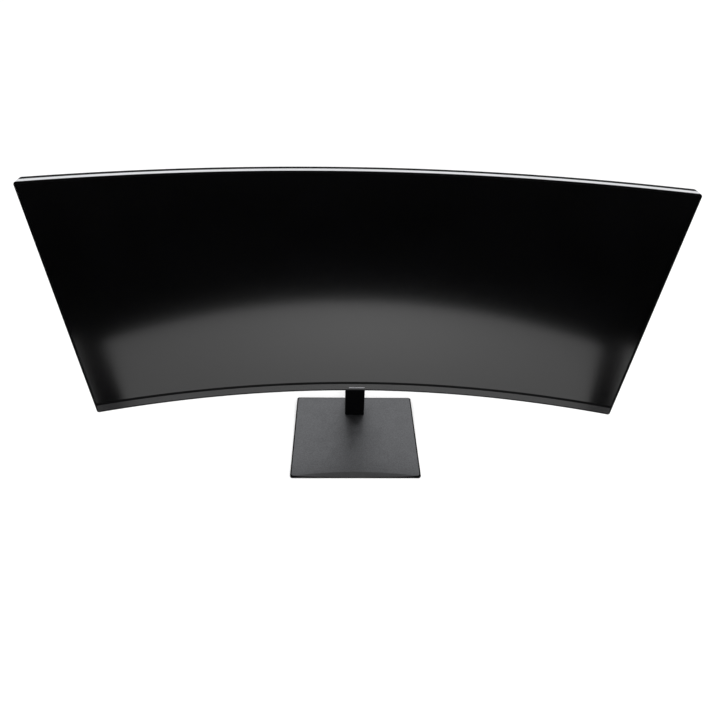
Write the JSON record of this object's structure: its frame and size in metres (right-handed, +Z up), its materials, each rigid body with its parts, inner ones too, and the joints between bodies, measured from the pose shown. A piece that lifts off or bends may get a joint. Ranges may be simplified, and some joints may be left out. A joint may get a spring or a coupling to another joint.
{
  "type": "computer monitor",
  "caption": "Curved ultrawide monitor with a silver rim, a chin and a housing for ports on its back, held by a tilting arm that slides on a slim black column over a flat square-cornered base.",
  "frame": {"origin": "on the desk, under the middle of the base", "axes": "+X to the viewer's right along the screen's width, -Y towards the viewer, +Z up"},
  "size_m": [0.8094, 0.1984, 0.497],
  "materials": {
    "screen_glass": "anti-glare film over black glass",
    "black_trim": "satin black",
    "silver_frame": "fine satin silver",
    "dark_plastic": "fine satin, dark grey",
    "cover_plastic": "fine moulded texture, black",
    "powder_coat": "fine textured powder coat, dark grey",
    "column_black": "satin black",
    "steel": "plain zinc-plated",
    "spring_steel": "polished spring steel",
    "acetal": "natural white",
    "acrylic": "clear",
    "white_film": "white",
    "circuit_board": "green solder mask",
    "rubber": "matt black",
    "badge_grey": "satin grey"
  },
  "bodies": {
    "stand": {"base_plate": "powder_coat", "foot_pad_1": "rubber", "foot_pad_2": "rubber", "foot_pad_3": "rubber", "foot_pad_4": "rubber", "column_sleeve": "column_black", "column_shell": "column_black", "column_cap": "cover_plastic", "column_foot": "steel", "cable_grommet": "cover_plastic", "lift_rail": "steel", "spring_anchor": "steel", "spring_strip": "spring_steel"},
    "lift": {"head_arm": "column_black", "hinge_pin": "steel", "friction_washer_left": "spring_steel", "friction_washer_right": "spring_steel", "lift_carriage": "steel", "glide_block_bottom": "acetal", "glide_block_top": "acetal", "drum_axle": "steel"},
    "spring": {"spring_drum": "acetal", "spring_coil": "spring_steel"},
    "head": {"lcd_cell": "screen_glass", "bezel_trim": "black_trim", "chin_strip": "dark_plastic", "chin_badge": "badge_grey", "power_led_lens": "acrylic", "mid_frame": "silver_frame", "optical_films": "white_film", "light_guide": "acrylic", "led_bar": "circuit_board", "reflector_sheet": "white_film", "back_chassis": "steel", "rear_cover": "cover_plastic", "cover_screw_1": "steel", "cover_screw_2": "steel", "cover_screw_3": "steel", "cover_screw_4": "steel", "vesa_bracket": "steel", "release_plate": "powder_coat", "tilt_knuckle": "steel", "hinge_shroud": "cover_plastic", "latch_spring": "spring_steel", "main_board": "circuit_board", "led_driver_board": "circuit_board", "io_plate": "steel", "dc_jack": "dark_plastic", "hdmi_port_1": "steel", "hdmi_port_2": "steel", "displayport_1": "steel", "audio_jack": "dark_plastic", "joystick_board": "circuit_board"},
    "latch": {"release_latch": "steel", "release_button": "dark_plastic"},
    "knob_sideways": {"joystick_gimbal": "acetal"},
    "knob_upright": {"joystick_stem": "acetal"},
    "knob_press": {"joystick_cap": "rubber"},
    "captive_screw": {"captive_screw": "steel"},
    "screw_ring": {"screw_ring": "spring_steel"}
  },
  "joints": [
    {"name": "height_lift", "type": "slide", "parent": "stand", "child": "lift", "axis": [0, 0, 1], "range_m": [-0.07, 0.04], "deforming": ["spring_strip"]},
    {"name": "screen_tilt", "type": "hinge", "parent": "lift", "child": "head", "pos_m": [0, 0.033, 0.31], "axis": [-1, 0, 0], "range_deg": [-5, 15]},
    {"name": "spring_turn", "type": "hinge", "parent": "lift", "child": "spring", "pos_m": [0, 0.072, 0.232], "axis": [1, 0, 0], "range_deg": [-240, 400]},
    {"name": "release_press", "type": "slide", "parent": "head", "child": "latch", "axis": [0, 0, 1], "range_m": [0, 0.0055], "stiffness_N_per_m": 400, "springref_m": -0.002, "deforming": ["latch_spring"]},
    {"name": "knob_sideways_turn", "type": "hinge", "parent": "head", "child": "knob_sideways", "pos_m": [0.33018, -0.04547, 0.168], "axis": [0, 0, 1], "range_deg": [-5, 5], "stiffness_Nm_per_rad": 0.2},
    {"name": "knob_upright_turn", "type": "hinge", "parent": "knob_sideways", "child": "knob_upright", "pos_m": [0.33018, -0.04547, 0.168], "axis": [0.9759, -0.2182, 0], "range_deg": [-5, 5], "stiffness_Nm_per_rad": 0.2},
    {"name": "knob_push", "type": "slide", "parent": "knob_upright", "child": "knob_press", "axis": [-0.2182, -0.9759, 0], "range_m": [0, 0.0006], "stiffness_N_per_m": 1500, "springref_m": -0.0004},
    {"name": "captive_screw_spin", "type": "hinge", "parent": "stand", "child": "captive_screw", "pos_m": [0, 0.074, 0.0025], "axis": [0, 0, 1], "continuous": true},
    {"name": "screw_ring_fold", "type": "hinge", "parent": "captive_screw", "child": "screw_ring", "pos_m": [0, 0.074, 0.0025], "axis": [1, 0, 0], "range_deg": [0, 180]}
  ],
  "couplings": [
    {"joint": "spring_turn", "follows": "height_lift", "rad_per_m": -95.2}
  ]
}
